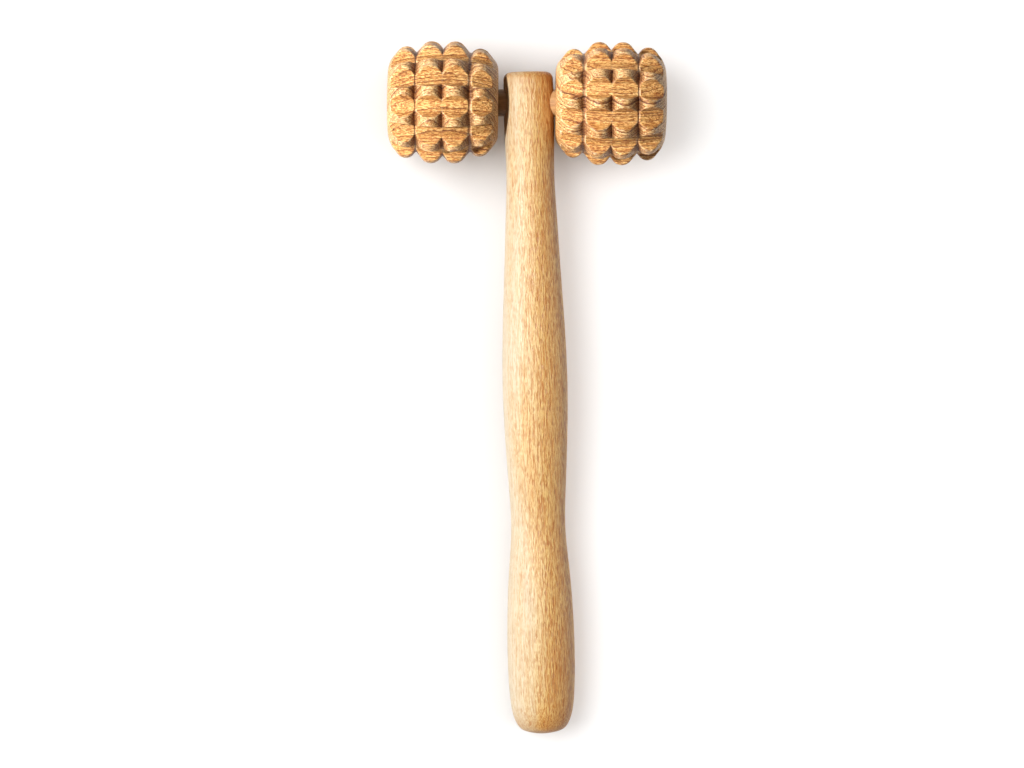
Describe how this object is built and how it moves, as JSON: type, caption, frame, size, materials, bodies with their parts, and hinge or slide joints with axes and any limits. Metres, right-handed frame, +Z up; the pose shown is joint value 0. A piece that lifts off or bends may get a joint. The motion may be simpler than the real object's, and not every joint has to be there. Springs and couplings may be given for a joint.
{
  "type": "foot massage roller",
  "caption": "Hand-held wooden foot massager: a turned handle carries a cross axle with a free-spinning, fluted and beaded barrel roller on each side of its head.",
  "frame": {"origin": "bottom centre of the whole part's box, on the surface it lies on", "axes": "+Y from the grip's butt towards the head, +X along the axle towards the right roller, +Z up as it lies on its rollers and the grip's belly"},
  "size_m": [0.1132, 0.2832, 0.05],
  "materials": {
    "handle_beech": "fine-sanded and oiled",
    "roller_oak": "turned and fluted, oiled",
    "axle_wood": "turned dowel, oiled",
    "cap_wood": "turned, oiled",
    "wedge_wood": "split hardwood, sanded flush",
    "pin_steel": "drawn wire"
  },
  "bodies": {
    "handle": {"handle": "handle_beech", "axle": "axle_wood", "axle_lock_pin": "pin_steel", "left_end_cap": "cap_wood", "right_end_cap": "cap_wood", "left_wedge": "wedge_wood", "right_wedge": "wedge_wood"},
    "left_roller": {"left_roller": "roller_oak"},
    "right_roller": {"right_roller": "roller_oak"}
  },
  "joints": [
    {"name": "left_roller_spin", "type": "hinge", "parent": "handle", "child": "left_roller", "pos_m": [-0.03414, 0.11657, 0.025], "axis": [1, 0, 0], "continuous": true},
    {"name": "right_roller_spin", "type": "hinge", "parent": "handle", "child": "right_roller", "pos_m": [0.03414, 0.11657, 0.025], "axis": [1, 0, 0], "continuous": true}
  ]
}
